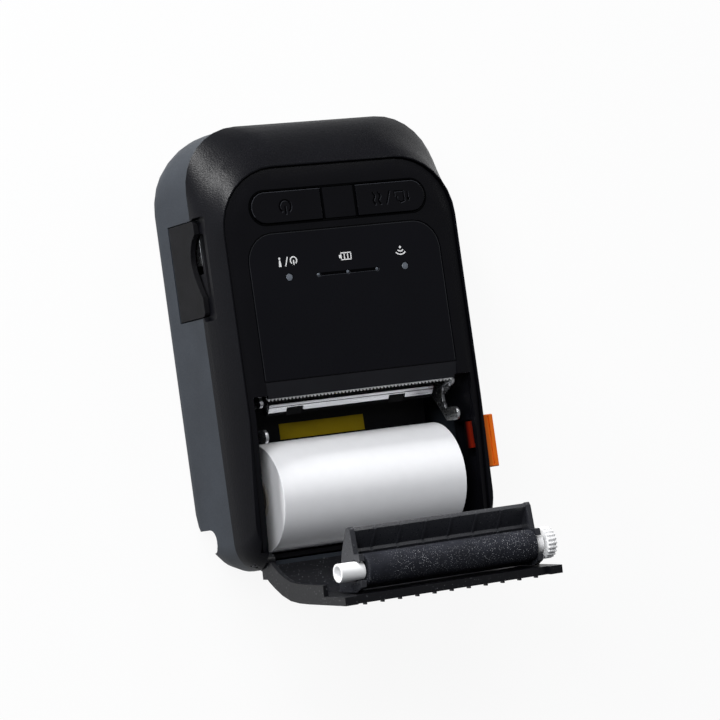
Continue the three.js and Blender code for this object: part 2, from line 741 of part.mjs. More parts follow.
function bracket(x0) {
  const fork = bushRadius + fit;
  const rim = fork + bracketWall;
  const outline = [[doorInside + fit, guideRootHeight - bracketWall],
    [guideKneeDepth, guideKneeHeight - guideWall - fit],
    [guideTipDepth + fit, guideTipHeight - guideWall], [guideTipDepth + guideWall / 2, guideTipHeight],
    [guideTipDepth - fit, guideTipHeight + guideWall / 2], [platenDepth + rim, platenHeight + fit],
    [platenDepth + rim, platenHeight + fork], [platenDepth + fork - fit, platenHeight + fork + fit],
    [platenDepth - fork + fit, platenHeight + fork + fit], [platenDepth - rim, platenHeight + fork],
    [doorInside + fit, platenHeight]];
  const slot = join(rodX(fork, x0 - overrun, x0 + bracketWall + overrun, platenDepth, platenHeight, 16),
    block(x0 - overrun, x0 + bracketWall + overrun, platenDepth - fork + fit, platenDepth + fork - fit,
      platenHeight, platenHeight + 2 * rim));
  return cut(prismX(outline, x0, x0 + bracketWall), slot);
}

const bracketLeft = -platenLeft - bracketWall - fit - bracketPlay;
const bracketRight = platenRight + fit;

function paperGuide() {
  const sheet = prismX(guideOutline(guideWall), bracketLeft + fit, bracketRight + bracketWall - fit);
  const span = bracketRight - bracketLeft;
  const ribs = Array.from({ length: guideRibCount }, (_, i) => {
    const x = bracketLeft + span * (i + 1) / (guideRibCount + 1);
    const strip = prismX(guideOutline(guideWall), x - guideRib / 2, x + guideRib / 2);
    return strip.translate([0, guideRibHeight, guideRibHeight / 2])
      .intersect(block(x - guideRib, x + guideRib, guideKneeDepth - guideWall, guideTipDepth, 0, bodyLength));
  });
  return join(sheet, ribs, bracket(bracketLeft), bracket(bracketRight));
}

// A spur gear whose axis lies along x
const toothShares = [[0.05, 0], [0.3, 1], [0.6, 1], [0.85, 0]];

function gear(tip, teeth, x0, x1, depth, height, bore) {
  const points = [];
  for (let i = 0; i < teeth; i++) {
    for (const [share, rise] of toothShares) {
      const radius = tip - toothDepth * (1 - rise);
      const angle = (i + share) / teeth * 2 * Math.PI;
      points.push([depth + radius * Math.cos(angle), height - radius * Math.sin(angle)]);
    }
  }
  const body = prismX(points, x0, x1);
  return bore > 0 ? body.subtract(rodX(bore, x0 - overrun, x1 + overrun, depth, height, 16)) : body;
}

const hubLength = 2;
const gearStart = frameInset + framePlate + fit;
const bushRightEnd = gearStart - fit;

function bush(x0, x1) {
  return rodX(bushRadius, x0, x1, platenDepth, platenHeight, 20)
    .subtract(rodX(platenShaftRadius + fit, x0 - overrun, x1 + overrun, platenDepth, platenHeight, 16));
}

// Swings a part of the closed door to its open place
const doorOpenDegrees = 94;
const openDoor = (part) => part
  .translate([0, -along(hingeHeight), -up(hingeDepth)])
  .rotate([doorOpenDegrees, 0, 0])
  .translate([0, along(hingeHeight), up(hingeDepth)]);

// Chassis plates with the notches that take the platen bushes
function chassisPlate(x0) {
  const slotHalf = bushRadius + fit;
  const x1 = x0 + framePlate;
  const hookDepth = platenDepth - hookReach;
  const hookHeight = platenHeight - hookFall;
  const lipDepth = platenDepth - lipReach;
  const lipHeight = platenHeight + lipRise;
  const behindBoard = boardDepth + boardThickness + wall;
  const outline = [[behindBoard, frameHigh], [behindBoard, boardLow - wall], [frameFront, bayTop + wall],
    [frameFront, bayTop - fit], [lipDepth - lipRadius, lipHeight],
    [platenDepth + wall, platenHeight + slotHalf],
    [platenDepth + wall, platenHeight - slotHalf], [hookDepth, hookHeight + hookRadius],
    [hookDepth, hookHeight - hookRadius], [platenDepth + wall, hookHeight - hookRadius + fit],
    [idlerDepth - wall, platenHeight - wall], [linerBackDepth - wall, linerTop + wall],
    [frameBase, frameLow], [frameBase, frameHigh]];
  const slot = join(rodX(slotHalf, x0 - overrun, x1 + overrun, platenDepth, platenHeight, 20),
    block(x0 - overrun, x1 + overrun, foreground, platenDepth, hookHeight + hookRadius, platenHeight + slotHalf));
  const rounds = [rodX(lipRadius, x0, x1, lipDepth, lipHeight, 20),
    rodX(hookRadius, x0, x1, hookDepth, hookHeight, 20)];
  return cut(join(prismX(outline, x0, x1), rounds), slot);
}

function feedFrame() {
  const base = block(-frameInset - framePlate, frameInset + framePlate, frameBase,
    frameBase + framePlate, frameLow, frameHigh);
  const shaftHole = rodX(gearPinRadius + fit, frameInset - overrun, frameInset + framePlate + overrun,
    motorDepth, motorHeight, 12);
  const idlerPin = rodX(gearPinRadius, frameInset + framePlate / 2, gearStart + gearWidth,
    idlerDepth, idlerHeight, 12);
  const plates = join(chassisPlate(-frameInset - framePlate), chassisPlate(frameInset), base);
  return join(plates.subtract(shaftHole), idlerPin);
}

// Print head layers stack away from the platen along this direction in depth and height
const headLean = Math.PI / 5;
const headLeft = platenLeft;
const headRight = platenRight;
const springLength = 2.5;
const springRadius = 1.2;
const springReach = 16;

function headLayer(from, to, low, high, x0, x1) {
  const across = [Math.sin(headLean), -Math.cos(headLean)];
  const away = [Math.cos(headLean), Math.sin(headLean)];
  const start = platenRadius + headGap;
  const at = (behind, offset) => [platenDepth + away[0] * (start + behind) + across[0] * offset,
    platenHeight + away[1] * (start + behind) + across[1] * offset];
  return prismX([at(from, low), at(from, high), at(to, high), at(to, low)], x0, x1);
}

const tabSpans = [-headTabReach, headTabReach].map((middle) => [middle - headTab / 2, middle + headTab / 2]);

function printHead() {
  const notchesForTabs = tabSpans.map(([x0, x1]) => headLayer(-overrun, headThickness + overrun,
    0, headHalf + overrun, x0 - fit, x1 + fit));
  return cut(headLayer(0, headThickness, -headHalf, headHalf, -headLeft, headRight), notchesForTabs);
}

// Carrier of the head: a back plate on the springs, lips above and below, and two tabs over the head's edge
function headBracket() {
  const back = headThickness + headSink + springLength;
  const lip = headHalf + fit;
  const plate = headLayer(back, back + wall / 2, -bracketHalf, bracketHalf, -frameInset, frameInset);
  const lips = [[-bracketHalf, -lip], [lip, bracketHalf]].map(([low, high]) => headLayer(headThickness / 2,
    back + fit, low, high, -headLeft, headRight));
  const tabs = tabSpans.map(([x0, x1]) => headLayer(fit / 2, headThickness - fit, fit, bracketHalf, x0, x1));
  return join(plate, lips, tabs);
}

function headSpring(x) {
  const geometry = new THREE.CylinderGeometry(springRadius, springRadius, springLength - 2 * fit, 12);
  geometry.rotateX(headLean - Math.PI / 2);
  const middle = platenRadius + headGap + headThickness + headSink + springLength / 2;
  geometry.translate(x, along(platenHeight + Math.sin(headLean) * middle),
    up(platenDepth + Math.cos(headLean) * middle));
  return solid(geometry);
}

// Saw-toothed tear blade
function tearBlade() {
  const count = Math.round(2 * bladeHalf / bladePitch);
  const pitch = 2 * bladeHalf / count;
  const points = [[bladeHalf, bladeTip + bladeHeight], [-bladeHalf, bladeTip + bladeHeight]];
  for (let i = 0; i < count; i++) {
    const x = -bladeHalf + i * pitch;
    points.push([x, bladeTip + bladeTooth], [x + pitch / 2, bladeTip]);
  }
  points.push([bladeHalf, bladeTip + bladeTooth]);
  return prismZ(points, bezelThickness, bezelThickness + bladeThickness);
}

function key(side) {
  const flangeDepth = bezelThickness + fit;
  const switchTop = boardDepth - switchBody - plungerLength;
  const cap = prismZ(keyOutline(side, 0), -keyProud, flangeDepth + fit);
  const flange = prismZ(keyOutline(side, keyFlange), flangeDepth, flangeDepth + keyFlangeThickness);
  const stem = rodZ(plungerRadius, flangeDepth, switchTop - keyTravel - fit, side * keyMiddle, keyHeight);
  return join(cap, flange, stem);
}

const keyMiddle = (keyBridge + keyEnd) / 2;

function keySwitch(side) {
  const x = side * keyMiddle;
  const body = block(x - switchHalf, x + switchHalf, boardDepth - switchBody, boardDepth,
    keyHeight - switchHalf, keyHeight + switchHalf);
  return join(body, rodZ(plungerRadius, boardDepth - switchBody - plungerLength, boardDepth - fit, x, keyHeight));
}

function chargePipe() {
  const bar = block(-chargeReach - ledRadius, chargeReach + ledRadius, boardDepth - 2 * ledRadius, boardDepth,
    ledHeight - ledRadius, ledHeight + ledRadius);
  const pins = [-1, 0, 1].map((side) => rodZ(chargeRadius, fit / 2, boardDepth - ledRadius,
    side * chargeReach, ledHeight, 10));
  return join(bar, pins);
}

function panelOverlay() {
  const sheet = prismZ(overlayOutline(0), fit / 6, overlayThickness);
  const lights = [-1, 1].map((side) => rodZ(ledRadius + fit / 2, foreground, bezelThickness,
    side * ledReach, ledHeight));
  const charge = [-1, 0, 1].map((side) => rodZ(chargeRadius + fit / 2, foreground, bezelThickness,
    side * chargeReach, ledHeight, 10));
  return cut(sheet, lights, charge);
}

function portFlap() {
  const face = -bodyHalf;
  const radius = flapThickness / 2;
  const inner = face + flapThickness;
  const sheet = sidePrism(portShallow, portDeep, portLow, portHigh, portCorner, face, inner);
  const square = block(face - overrun, inner + overrun, portDeep - radius, portDeep + overrun, portLow, portHigh);
  const edge = new THREE.CylinderGeometry(radius, radius, portHigh - portLow, 16);
  edge.translate(face + radius, along(portMiddle), up(portDeep - radius));
  return cut(join(cut(sheet, square), solid(edge)), prismX(scoop(0), face - overrun, inner + overrun));
}

function releaseLever() {
  const outside = bodyHalf + leverProud;
  const tab = sidePrism(leverShallow, leverDeep, leverLow, leverHigh, leverGroove, leverFace, outside);
  const middle = (bodyHalf + outside) / 2;
  const grooves = [block(middle - leverGroove, middle, leverShallow - overrun, leverShallow + leverGroove,
    leverLow + leverGroove, leverHigh - leverGroove),
  block(outside - leverGroove, outside + overrun, leverMiddleDepth - leverGroove, leverMiddleDepth + leverGroove,
    leverLow + leverGroove, leverHigh - leverGroove)];
  const neck = block(bayHalf + leverBar, leverFace + fit, leverBarShallow + 2 * leverPlay, leverBarDeep,
    leverBarMiddle - leverNeckHalf, leverBarMiddle + leverNeckHalf);
  const bar = block(bayHalf + leverPlay, bayHalf + leverPlay + leverBar, leverBarShallow, leverBarDeep,
    leverBarLow, leverBarHigh);
  return join(cut(tab, grooves), neck, bar);
}

const leverMiddleDepth = (leverShallow + leverDeep) / 2;

function jackBore() {
  const middle = ioShallow + boardThickness + jackSize / 2;
  return rodX(jackSize / 2 - wall / 2, -bodyHalf, -bodyHalf + ioInset + jackLength - wall, middle, jackMiddle, 16);
}

function batteryCover() {
  const sheet = prismZ(roundedOutline(coverHalf, coverLow, coverHigh, fit, wall, 3), coverShallow, bodyDepth);
  const barrel = rodX(coverHingeRadius, -coverHalf, coverHalf, coverHingeDepth, coverLow);
  const square = block(-coverHalf, coverHalf, coverShallow, bodyDepth, coverLow - overrun, coverLow);
  return join(sheet.subtract(square), barrel);
}

// Small parts
const labelLeft = -16.3;
const labelRight = 10.5;
const labelWidth = 4.3;
const labelDrop = 4.8;
const labelThickness = 0.15;
const labelHigh = linerTop - labelDrop;
const labelLow = labelHigh - labelWidth;
const chipHalf = 5;
const chipThickness = 1.2;
const linkWidth = 3;
const usbLength = 6.5;
const usbHeight = 3.2;
const usbWidth = 9;
const usbRise = 5.6;
const usbMiddle = portMiddle + usbRise;
const jackLength = 8;
const jackSize = 8.6;
const jackFall = 5.6;
const jackMiddle = portMiddle - jackFall;

place('front_shell', frontShell(), 0x1b1c20, 0.55);
place('front_bezel', frontBezel(), 0x191a1e, 0.5);
place('rear_shell', rearShell(), 0x3d4148, 0.6);
place('roll_bay', rollBay(), 0x15161a, 0.7);
place('paper_roll', rodX(rollRadius, -paperWidth / 2, paperWidth / 2, rollDepth, rollHeight, 48)
  .subtract(rodX(coreRadius + fit, -paperWidth / 2 - overrun, paperWidth / 2 + overrun, rollDepth, rollHeight, 24)),
  0xf4f4f6, 0.9);
place('roll_core', rodX(coreRadius, -paperWidth / 2, paperWidth / 2, rollDepth, rollHeight)
  .subtract(rodX(coreBore, -paperWidth / 2 - overrun, paperWidth / 2 + overrun, rollDepth, rollHeight)), 0xc9b48e, 0.9);
place('door_cover', openDoor(doorCover()), 0x17181b, 0.5);
place('paper_guide', openDoor(paperGuide()), 0x26282d, 0.55);
place('platen_rubber', openDoor(rodX(platenRadius, -platenLeft, platenRight, platenDepth, platenHeight, 32)
  .subtract(rodX(platenShaftRadius, -platenLeft - overrun, platenRight + overrun, platenDepth, platenHeight, 16))),
  0x23262c, 0.85);
place('platen_bush_left', openDoor(bush(-bushLeftEnd, -platenLeft - fit)), 0xf0f0ee, 0.45);
place('platen_bush_right', openDoor(bush(platenRight + fit, bushRightEnd)), 0xf0f0ee, 0.45);
place('platen_gear', openDoor(gear(gearRadius, gearTeeth, gearStart, gearStart + gearWidth,
  platenDepth, platenHeight, platenShaftRadius)), 0xf2f2f2, 0.5);
place('platen_shaft', openDoor(rodX(platenShaftRadius - shaftFit, -bushLeftEnd + hubLength, gearStart + gearWidth,
  platenDepth, platenHeight, 16)), 0xb9bcc2, 0.3, 1);

place('tear_blade', tearBlade(), 0xd9dbdd, 0.25, 1);
place('feed_frame', feedFrame(), 0xb4b7ba, 0.35, 1);
place('print_head', printHead(), 0xc8cace, 0.3, 1);
place('head_sink', headLayer(headThickness, headThickness + headSink, -headHalf, headHalf,
  -headLeft, headRight), 0xaeb1b5, 0.4, 1);
place('head_bracket', headBracket(), 0x1c1d20, 0.6);
place('head_spring_left', headSpring(-springReach), 0xb4b7ba, 0.35, 1);
place('head_spring_right', headSpring(springReach), 0xb4b7ba, 0.35, 1);
place('feed_motor', rodX(motorRadius, frameInset - motorLength, frameInset, motorDepth, motorHeight),
  0x9a9da1, 0.4, 1);
place('motor_pinion', join(
  gear(pinionRadius, pinionTeeth, gearStart, gearStart + gearWidth, motorDepth, motorHeight, 0),
  rodX(gearPinRadius, frameInset + fit, gearStart + overrun, motorDepth, motorHeight, 12)), 0xf2f2f2, 0.5);
place('idler_gear', gear(idlerRadius, idlerTeeth, gearStart, gearStart + gearWidth, idlerDepth, idlerHeight,
  gearPinRadius + fit), 0xf2f2f2, 0.5);
place('label_patch', block(labelLeft, labelRight, linerBackDepth - labelThickness, linerBackDepth,
  labelLow, labelHigh), 0x7a6b10, 0.6);
place('roll_cheek_left', linerCheek(-1), 0x15161a, 0.7);
place('roll_cheek_right', linerCheek(1), 0x15161a, 0.7);
place('hinge_pin_left', rodX(hingePinRadius, -bayHalf - hingePinHold + fit, -doorHalf + hingeEyeWidth,
  hingeDepth, hingeHeight, 16), 0xb9bcc2, 0.3, 1);
place('hinge_pin_right', rodX(hingePinRadius, doorHalf - hingeEyeWidth, bayHalf + hingePinHold - fit,
  hingeDepth, hingeHeight, 16), 0xb9bcc2, 0.3, 1);
place('panel_overlay', panelOverlay(), 0x15161a, 0.35);
place('button_bridge', block(-keyBridge, keyBridge, -keyProud / 2, bezelThickness / 2, keyHeight - keyHalf,
  keyHeight + keyHalf), 0x1b1c20, 0.45);
place('power_button', key(-1), 0x1b1c20, 0.5);
place('feed_button', key(1), 0x1b1c20, 0.5);
place('power_switch', keySwitch(-1), 0x2b2d31, 0.5);
place('feed_switch', keySwitch(1), 0x2b2d31, 0.5);
place('status_led_left', rodZ(ledRadius, fit / 2, boardDepth, -ledReach, ledHeight), 0x6b7078, 0.3);
place('status_led_right', rodZ(ledRadius, fit / 2, boardDepth, ledReach, ledHeight), 0x6b7078, 0.3);
place('charge_light_pipe', chargePipe(), 0x6b7078, 0.3);
place('main_board', block(-boardHalf, boardHalf, boardDepth, boardDepth + boardThickness, boardLow, boardHigh),
  0x1f5a36, 0.5);
place('control_chip', block(-chipHalf, chipHalf, boardDepth + boardThickness,
  boardDepth + boardThickness + chipThickness, boardHigh - 4 * chipHalf, boardHigh - 2 * chipHalf),
  0x202124, 0.5);
place('radio_module', block(boardHalf - 3 * chipHalf, boardHalf - chipHalf / 2, boardDepth + boardThickness,
  boardDepth + boardThickness + 2 * chipThickness, boardHigh - 4 * chipHalf, boardHigh - chipHalf),
  0xb9bcc2, 0.35, 1);
place('io_board', block(-bodyHalf + ioInset, -bodyHalf + ioInset + ioWidth, ioShallow, ioShallow + boardThickness,
  portLow + overrun, portHigh - overrun), 0x1f5a36, 0.5);
place('board_link', block(-boardHalf + overrun, -boardHalf + overrun + linkWidth,
  boardDepth + boardThickness, ioShallow, portLow + 2 * linkWidth, portHigh - 2 * linkWidth), 0x202124, 0.5);
place('usb_socket', block(-bodyHalf + ioInset, -bodyHalf + ioInset + usbLength, ioShallow + boardThickness,
  ioShallow + boardThickness + usbHeight, usbMiddle - usbWidth / 2, usbMiddle + usbWidth / 2), 0xb9bcc2, 0.3, 1);
place('dc_jack', block(-bodyHalf + ioInset, -bodyHalf + ioInset + jackLength, ioShallow + boardThickness,
  ioShallow + boardThickness + jackSize, jackMiddle - jackSize / 2, jackMiddle + jackSize / 2)
  .subtract(jackBore()), 0x202124, 0.5);
place('port_flap', portFlap(), 0x101114, 0.75);
place('release_lever', releaseLever(), 0xf5811f, 0.35);
place('battery_pack', prismZ(roundedOutline(batteryHalf, batteryLow, batteryHigh, 2 * wall, 2 * wall, 3), trayDepth,
  trayDepth + batteryThickness), 0x2a2c30, 0.5);
place('battery_cover', batteryCover(), 0x3d4148, 0.6);
mirrored.forEach(([x, height], i) => place(`rear_screw_${i + 1}`, join(
  rodZ(screwHeadRadius, bodyDepth - screwHeadDepth, bodyDepth - fit, x, height),
  rodZ(screwRadius - fit / 3, partingDepth - screwReach + fit, bodyDepth - screwHeadDepth / 2, x, height, 10)),
  0x8d9096, 0.4, 1));

export default printer;
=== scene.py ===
import json
import math

import bpy
from mathutils import Matrix, Vector


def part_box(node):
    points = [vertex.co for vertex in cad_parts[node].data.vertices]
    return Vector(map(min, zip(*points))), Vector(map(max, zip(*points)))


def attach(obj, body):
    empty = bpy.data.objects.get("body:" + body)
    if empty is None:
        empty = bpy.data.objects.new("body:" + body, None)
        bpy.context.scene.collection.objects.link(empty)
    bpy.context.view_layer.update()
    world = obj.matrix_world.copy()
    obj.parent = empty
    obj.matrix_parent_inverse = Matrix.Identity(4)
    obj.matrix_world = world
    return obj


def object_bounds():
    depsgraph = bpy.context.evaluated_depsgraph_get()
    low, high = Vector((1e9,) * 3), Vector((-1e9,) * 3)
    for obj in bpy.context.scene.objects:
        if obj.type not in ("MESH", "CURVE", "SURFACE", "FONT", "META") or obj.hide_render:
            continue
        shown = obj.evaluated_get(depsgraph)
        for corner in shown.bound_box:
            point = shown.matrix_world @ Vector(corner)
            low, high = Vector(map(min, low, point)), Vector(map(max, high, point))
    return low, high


MM = 0.001
WHITE, BLACK = (1, 1, 1), (0, 0, 0)

# Camera fitted to the photograph, as seen on the printer standing on its bottom end
LENS = 171.46
SENSOR = 36.0
CAMERA_AZIMUTH = math.radians(29.86)
CAMERA_ELEVATION = math.radians(-2.5)
CAMERA_ROLL = math.radians(-7.98)
CAMERA_PLACE = Vector((-463.90, -48.04, 842.68)) * MM
NEAREST, FARTHEST = 0.05, 10

FLOOR_REACH = 6.0
FLOOR_DROP = 0.0002
FLOOR_COLOUR = (0.9, 0.9, 0.9)
WORLD_COLOUR = (0.82, 0.86, 0.92)
WORLD_STRENGTH = 0.1

# How much of the white background camera rays and glossy rays see. Glossy rays see less of it, which
# keeps the black plastics dark but also dims what the metal reflects.
FLOOR_SHARES = {"camera": 0.92, "glossy": 0.35}
WORLD_SHARES = {"camera": 1.0, "glossy": 0.22}

# Place from the object's centre, width, power and tint of each lamp
LAMPS = {
    "key": ((-0.55, 0.84, 0.1), 0.25, 11, WHITE),
    "front": ((-0.35, 0.8, 0.78), 0.7, 5.5, WHITE),
    "side": ((-0.66, 0.3, 0.72), 0.4, 4.8, (0.95, 0.97, 1)),
    "rim": ((0.95, 0.25, 0.12), 0.4, 1.2, WHITE),
    "sheen": ((0.42, 0.66, 0.64), 0.2, 0.8, WHITE),
}

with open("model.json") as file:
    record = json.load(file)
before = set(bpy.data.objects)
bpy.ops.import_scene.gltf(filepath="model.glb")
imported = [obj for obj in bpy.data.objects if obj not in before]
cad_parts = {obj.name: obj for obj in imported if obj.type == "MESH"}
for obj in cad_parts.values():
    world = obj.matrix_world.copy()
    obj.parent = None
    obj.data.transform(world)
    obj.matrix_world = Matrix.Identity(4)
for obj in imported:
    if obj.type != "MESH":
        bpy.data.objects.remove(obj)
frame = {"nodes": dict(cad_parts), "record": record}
cad_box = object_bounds()
NODES = frame["nodes"]
SLOTS = {part["node"]: part["material_slot"] for part in frame["record"]["subparts"]}
OBJECT_CENTRE = (cad_box[0] + cad_box[1]) / 2


def centre_of(node):
    low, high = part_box(node)
    return (Vector(low) + Vector(high)) / 2


# Camera, floor and light

def standing(x, depth, height):
    """A direction given on the standing printer, turned to lie on its back."""
    return Vector((x, height, -depth))


def make_camera():
    data = bpy.data.cameras.new("camera")
    data.lens = LENS
    data.sensor_width = SENSOR
    data.clip_start = NEAREST
    data.clip_end = FARTHEST
    camera = bpy.data.objects.new("camera", data)
    bpy.context.scene.collection.objects.link(camera)
    bpy.context.scene.camera = camera
    sin_a, cos_a = math.sin(CAMERA_AZIMUTH), math.cos(CAMERA_AZIMUTH)
    sin_e, cos_e = math.sin(CAMERA_ELEVATION), math.cos(CAMERA_ELEVATION)
    back = standing(-sin_a * cos_e, -cos_a * cos_e, sin_e)
    level = standing(cos_a, -sin_a, 0)
    upright = back.cross(level)
    right = level * math.cos(CAMERA_ROLL) + upright * math.sin(CAMERA_ROLL)
    up = back.cross(right)
    turn = Matrix((right, up, back)).transposed()
    camera.matrix_world = Matrix.Translation(CAMERA_PLACE) @ turn.to_4x4()


def make_floor():
    reach = FLOOR_REACH
    corners = [(-reach, -reach, 0), (reach, -reach, 0), (reach, reach, 0), (-reach, reach, 0)]
    mesh = bpy.data.meshes.new("floor")
    mesh.from_pydata(corners, [], [(0, 1, 2, 3)])
    floor = bpy.data.objects.new("floor", mesh)
    bpy.context.scene.collection.objects.link(floor)
    floor.location.z = min(cad_box[0].z, 0) - FLOOR_DROP
    floor.data.materials.append(floor_material())


def floor_material():
    material = bpy.data.materials.new("floor")
    material.use_nodes = True
    nodes, links = material.node_tree.nodes, material.node_tree.links
    nodes.clear()
    out = nodes.new("ShaderNodeOutputMaterial")
    mix = nodes.new("ShaderNodeMixShader")
    plain = nodes.new("ShaderNodeBsdfDiffuse")
    plain.inputs["Color"].default_value = (*FLOOR_COLOUR, 1)
    glow = nodes.new("ShaderNodeEmission")
    glow.inputs["Color"].default_value = (*WHITE, 1)
    glow.inputs["Strength"].default_value = 1.0
    links.new(ray_share(nodes, links, **FLOOR_SHARES), mix.inputs["Fac"])
    links.new(plain.outputs[0], mix.inputs[1])
    links.new(glow.outputs[0], mix.inputs[2])
    links.new(mix.outputs[0], out.inputs["Surface"])
    return material


def ray_share(nodes, links, camera, glossy):
    """How much of the plain white background each kind of ray sees."""
    path = nodes.new("ShaderNodeLightPath")
    shares = {"Is Camera Ray": camera, "Is Glossy Ray": glossy, "Is Transmission Ray": camera}
    total = None
    for ray, share in shares.items():
        part = nodes.new("ShaderNodeMath")
        part.operation = "MULTIPLY"
        part.inputs[1].default_value = share
        links.new(path.outputs[ray], part.inputs[0])
        if total is None:
            total = part.outputs[0]
            continue
        most = nodes.new("ShaderNodeMath")
        most.operation = "MAXIMUM"
        links.new(total, most.inputs[0])
        links.new(part.outputs[0], most.inputs[1])
        total = most.outputs[0]
    return total


def make_world():
    world = bpy.data.worlds.new("studio")
    bpy.context.scene.world = world
    world.use_nodes = True
    nodes, links = world.node_tree.nodes, world.node_tree.links
    background = nodes["Background"]
    background.inputs["Color"].default_value = (*WORLD_COLOUR, 1)
    background.inputs["Strength"].default_value = WORLD_STRENGTH
    bright = nodes.new("ShaderNodeBackground")
    bright.inputs["Color"].default_value = (*WHITE, 1)
    bright.inputs["Strength"].default_value = 1.0
    mix = nodes.new("ShaderNodeMixShader")
    links.new(ray_share(nodes, links, **WORLD_SHARES), mix.inputs["Fac"])
    links.new(background.outputs[0], mix.inputs[1])
    links.new(bright.outputs[0], mix.inputs[2])
    links.new(mix.outputs[0], nodes["World Output"].inputs["Surface"])


def make_lamp(name, place, width, power, tint):
    data = bpy.data.lights.new(name, "AREA")
    data.shape = "DISK"
    data.size = width
    data.energy = power
    data.color = tint
    lamp = bpy.data.objects.new(name, data)
    bpy.context.scene.collection.objects.link(lamp)
    lamp.location = OBJECT_CENTRE + Vector(place)
    lamp.rotation_mode = "QUATERNION"
    lamp.rotation_quaternion = (-Vector(place)).to_track_quat("-Z", "Y")


bpy.context.scene.view_settings.view_transform = "Standard"
make_camera()
make_floor()
make_world()
for lamp_name, settings in LAMPS.items():
    make_lamp(lamp_name, *settings)


# Materials

def new_material(name, colour, roughness, metallic=0.0, specular=0.5):
    material = bpy.data.materials.new(name)
    material.use_nodes = True
    shader = material.node_tree.nodes["Principled BSDF"]
    shader.inputs["Base Color"].default_value = (*colour, 1)
    shader.inputs["Roughness"].default_value = roughness
    shader.inputs["Metallic"].default_value = metallic
    shader.inputs["Specular IOR Level"].default_value = specular
    return material, shader


def noise_node(material, scale, detail, stretch=(1, 1, 1)):
    nodes, links = material.node_tree.nodes, material.node_tree.links
    place = nodes.new("ShaderNodeTexCoord")
    mapping = nodes.new("ShaderNodeMapping")
    mapping.inputs["Scale"].default_value = stretch
    noise = nodes.new("ShaderNodeTexNoise")
    noise.inputs["Scale"].default_value = scale
    noise.inputs["Detail"].default_value = detail
    links.new(place.outputs["Object"], mapping.inputs["Vector"])
    links.new(mapping.outputs["Vector"], noise.inputs["Vector"])
    return noise


def add_bump(material, shader, source, strength, height):
    """Bump on a material's shader; the height is in millimetres."""
    nodes, links = material.node_tree.nodes, material.node_tree.links
    bump = nodes.new("ShaderNodeBump")
    bump.inputs["Strength"].default_value = strength
    bump.inputs["Distance"].default_value = height * MM
    links.new(source, bump.inputs["Height"])
    links.new(bump.outputs["Normal"], shader.inputs["Normal"])


def colour_ramp(material, source, stops):
    nodes, links = material.node_tree.nodes, material.node_tree.links
    ramp = nodes.new("ShaderNodeValToRGB")
    while len(ramp.color_ramp.elements) < len(stops):
        ramp.color_ramp.elements.new(0.5)
    for element, (position, colour) in zip(ramp.color_ramp.elements, stops):
        element.position = position
        element.color = (*colour, 1)
    links.new(source, ramp.inputs["Fac"])
    return ramp.outputs["Color"]


def mix_colours(material, factor, first, second_colour):
    nodes, links = material.node_tree.nodes, material.node_tree.links
    mix = nodes.new("ShaderNodeMix")
    mix.data_type = "RGBA"
    links.new(factor, mix.inputs["Factor"])
    links.new(first, mix.inputs["A"])
    mix.inputs["B"].default_value = (*second_colour, 1)
    return mix.outputs["Result"]


def grey(level):
    return (level, level, level)


def shade(colour, factor):
    return tuple(min(1.0, c * factor) for c in colour)


def vary_roughness(material, shader, source, roughness, spread):
    stops = [(0.3, grey(roughness * (1 - spread))), (0.7, grey(min(1, roughness * (1 + spread))))]
    material.node_tree.links.new(colour_ramp(material, source, stops), shader.inputs["Roughness"])


def moulded_plastic(name, colour, roughness, grain=2600, depth=0.35, mottle=0.12, specular=0.12,
                    dusty=False):
    """Plastic with a fine spark-eroded grain, slightly uneven in colour and gloss, perhaps dusty."""
    material, shader = new_material(name, colour, roughness, specular=specular)
    links = material.node_tree.links
    fine = noise_node(material, grain, 2.0).outputs["Fac"]
    add_bump(material, shader, fine, depth, 0.06)
    broad = noise_node(material, 90, 4.0).outputs["Fac"]
    stops = [(0.3, shade(colour, 1 - mottle)), (0.7, shade(colour, 1 + mottle))]
    surface = colour_ramp(material, broad, stops)
    if dusty:
        dust = dust_mask(material, patch_scale=70, cell_scale=1300)
        surface = mix_colours(material, dust, surface, (0.16, 0.165, 0.175))
    links.new(surface, shader.inputs["Base Color"])
    vary_roughness(material, shader, fine, roughness, 0.12)
    return material


def metal(name, colour, roughness, stretch=(1, 40, 40), scale=60):
    """Metal with fine drawn lines, along x unless it is stretched another way."""
    material, shader = new_material(name, colour, roughness, metallic=1.0)
    lines = noise_node(material, scale, 5.0, stretch).outputs["Fac"]
    add_bump(material, shader, lines, 0.25, 0.04)
    stops = [(0.3, grey(roughness * 0.7)), (0.7, grey(min(1, roughness * 1.4)))]
    material.node_tree.links.new(colour_ramp(material, lines, stops), shader.inputs["Roughness"])
    return material


def dust_mask(material, patch_scale, cell_scale):
    """Small pale specks of paper dust, gathered in patches."""
    nodes, links = material.node_tree.nodes, material.node_tree.links
    place = nodes.new("ShaderNodeTexCoord")
    cells = nodes.new("ShaderNodeTexVoronoi")
    cells.inputs["Scale"].default_value = cell_scale
    links.new(place.outputs["Object"], cells.inputs["Vector"])
    specks = colour_ramp(material, cells.outputs["Distance"], [(0.12, WHITE), (0.24, BLACK)])
    some = colour_ramp(material, cells.outputs["Color"], [(0.25, BLACK), (0.7, WHITE)])
    broad = noise_node(material, patch_scale, 3.0).outputs["Fac"]
    patches = colour_ramp(material, broad, [(0.4, grey(0.12)), (0.62, WHITE)])
    product = specks
    for factor in (some, patches):
        times = nodes.new("ShaderNodeMath")
        times.operation = "MULTIPLY"
        links.new(product, times.inputs[0])
        links.new(factor, times.inputs[1])
        product = times.outputs[0]
    return product


